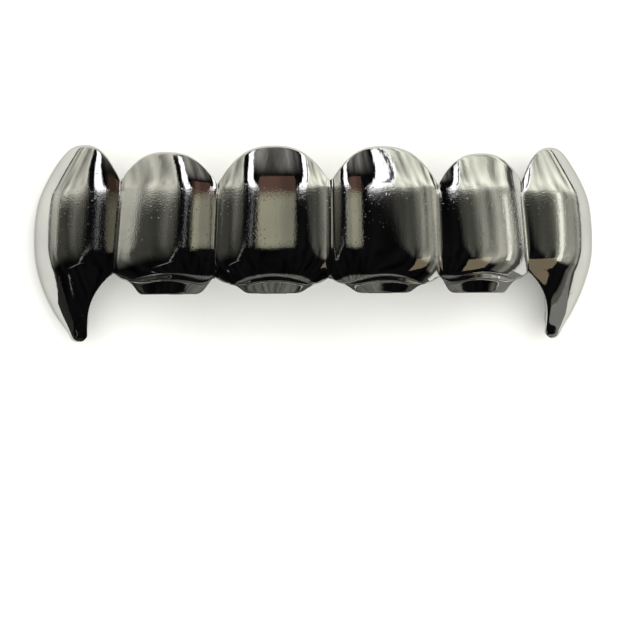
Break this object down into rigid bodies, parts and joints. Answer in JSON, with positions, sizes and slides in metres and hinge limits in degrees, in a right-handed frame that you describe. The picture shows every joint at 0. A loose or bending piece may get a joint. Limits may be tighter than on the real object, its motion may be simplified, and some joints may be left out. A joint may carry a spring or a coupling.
{
  "type": "vampire fang grillz",
  "caption": "Curved row of hollow metal tooth caps for the upper front teeth, with a long pointed fang at each end, open at the back to slip over the teeth.",
  "frame": {"origin": "middle of the box around the grill, on the plane of its two back rims", "axes": "+X along the row of teeth, +Y towards the gum edge, +Z out of the front faces, up from the table it lies on"},
  "size_m": [0.0478, 0.0162, 0.0117],
  "materials": {
    "black_nickel": "mirror bright black nickel plating on brass, with a fine cast grain on the middle of each cap"
  },
  "bodies": {
    "root": {"grill_shell": "black_nickel"}
  },
  "joints": []
}
